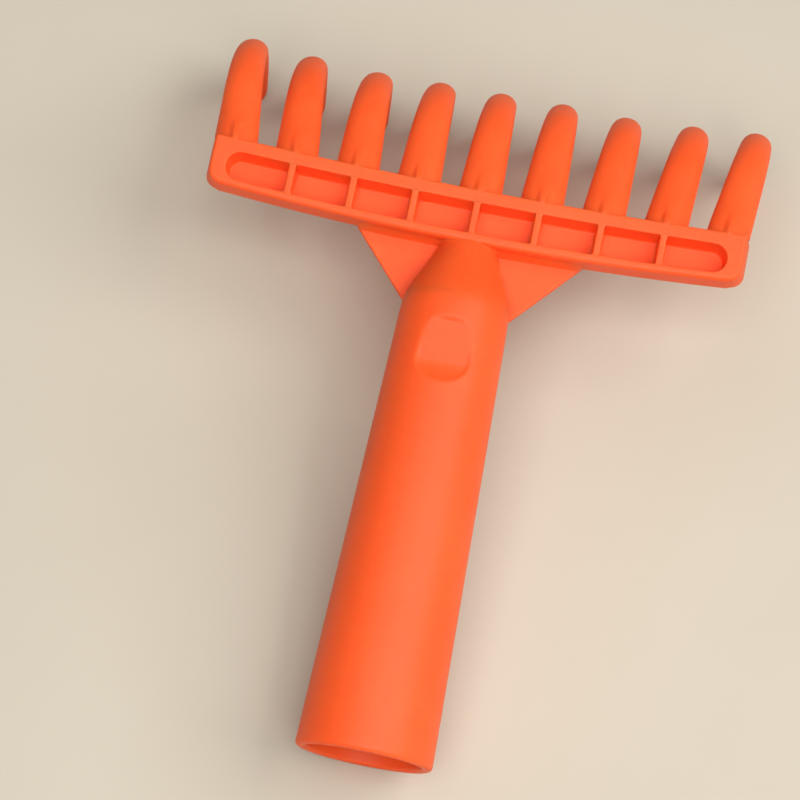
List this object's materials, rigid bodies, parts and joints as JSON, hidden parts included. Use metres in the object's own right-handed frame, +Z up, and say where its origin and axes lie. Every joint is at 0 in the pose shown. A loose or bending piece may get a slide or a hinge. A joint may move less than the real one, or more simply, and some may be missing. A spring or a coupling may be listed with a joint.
{
  "type": "sand rake head",
  "caption": "Toy sand rake head: a slotted crossbar with a comb of down-curved tines and a tapered hollow socket for a stick.",
  "frame": {"origin": "middle of the footprint, on the surface that the rake lies on", "axes": "+Y from the socket's mouth towards the tines, +X along the crossbar to the right seen from the mouth, +Z up"},
  "size_m": [0.1486, 0.2006, 0.0569],
  "materials": {
    "orange_plastic": "satin moulded plastic, one colour all through"
  },
  "bodies": {
    "root": {"socket_tube": "orange_plastic", "socket_nose": "orange_plastic", "web_left": "orange_plastic", "web_right": "orange_plastic", "crossbar": "orange_plastic", "slot_rib_1": "orange_plastic", "slot_rib_2": "orange_plastic", "slot_rib_3": "orange_plastic", "slot_rib_4": "orange_plastic", "slot_rib_5": "orange_plastic", "slot_rib_6": "orange_plastic", "slot_rib_7": "orange_plastic", "tine_1": "orange_plastic", "tine_2": "orange_plastic", "tine_3": "orange_plastic", "tine_4": "orange_plastic", "tine_5": "orange_plastic", "tine_6": "orange_plastic", "tine_7": "orange_plastic", "tine_8": "orange_plastic", "tine_9": "orange_plastic"}
  },
  "joints": []
}
